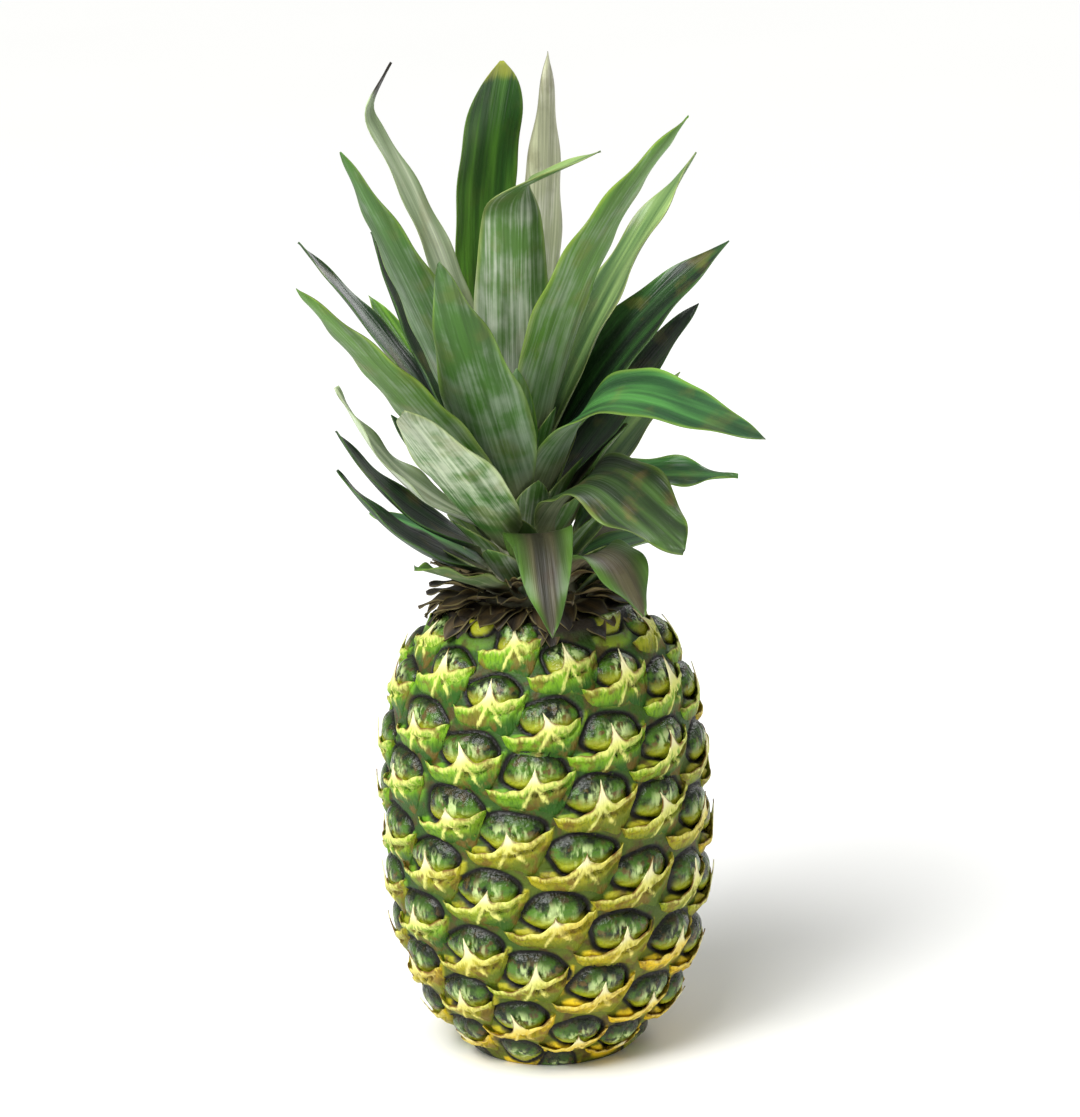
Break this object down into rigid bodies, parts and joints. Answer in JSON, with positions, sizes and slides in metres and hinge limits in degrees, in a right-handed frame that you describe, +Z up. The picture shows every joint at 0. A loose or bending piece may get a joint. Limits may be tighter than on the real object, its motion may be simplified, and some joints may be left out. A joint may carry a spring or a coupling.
{
  "type": "pineapple",
  "caption": "Ripe pineapple with its crown, an oval fruit covered in spiralling pointed eyes under a tuft of channelled leaves, standing on its cut base.",
  "frame": {"origin": "centre of the cut base that the fruit rests on", "axes": "+Z up along the fruit to the crown, -Y to the front, +X to the right of the front"},
  "size_m": [0.1596, 0.1974, 0.3644],
  "materials": {
    "fruit_skin": "waxy rind, dark green to yellow, with cream bract points",
    "cut_stalk": "dry fibrous cut",
    "crown_heart": "pale leaf bases, satin",
    "dry_bract": "dry papery bracts",
    "green_leaf": "satin leaf with a scurfy grey underside",
    "dark_leaf": "dark green waxy leaf",
    "pale_leaf": "pale grey-green leaf, scurfy",
    "dry_leaf": "leaf drying to yellow-brown"
  },
  "bodies": {
    "root": {"fruit": "fruit_skin", "stalk_end": "cut_stalk", "crown_stem": "crown_heart", "neck_bracts": "dry_bract", "leaf_short_left": "green_leaf", "leaf_droop_right": "green_leaf", "leaf_low_left": "dark_leaf", "leaf_droop_front": "dry_leaf", "leaf_dark_left": "dark_leaf", "leaf_side_right": "green_leaf", "leaf_flap_right": "green_leaf", "leaf_wavy_left": "pale_leaf", "leaf_stub_right": "dry_leaf", "leaf_pale_left": "pale_leaf", "leaf_dim_left": "dark_leaf", "leaf_green_left": "green_leaf", "leaf_thin_left": "green_leaf", "leaf_arch_right": "green_leaf", "leaf_big_front_left": "green_leaf", "leaf_short_dark_right": "dark_leaf", "leaf_inner_front": "green_leaf", "leaf_broad_right": "dark_leaf", "leaf_edge_left": "dark_leaf", "leaf_tall_left": "green_leaf", "leaf_pale_right": "pale_leaf", "leaf_tall_right": "green_leaf", "leaf_kinked_left": "pale_leaf", "leaf_front_centre": "pale_leaf", "leaf_dark_back": "dark_leaf", "leaf_crest_back": "dark_leaf", "leaf_crest_right": "pale_leaf", "leaf_back_low_1": "green_leaf", "leaf_back_low_2": "green_leaf", "leaf_back_low_3": "green_leaf", "leaf_back_low_4": "green_leaf", "leaf_back_droop": "dark_leaf", "leaf_back_1": "green_leaf", "leaf_back_2": "green_leaf", "leaf_back_3": "green_leaf", "leaf_back_4": "green_leaf", "leaf_back_5": "green_leaf", "leaf_back_6": "green_leaf", "leaf_back_7": "green_leaf"}
  },
  "joints": []
}
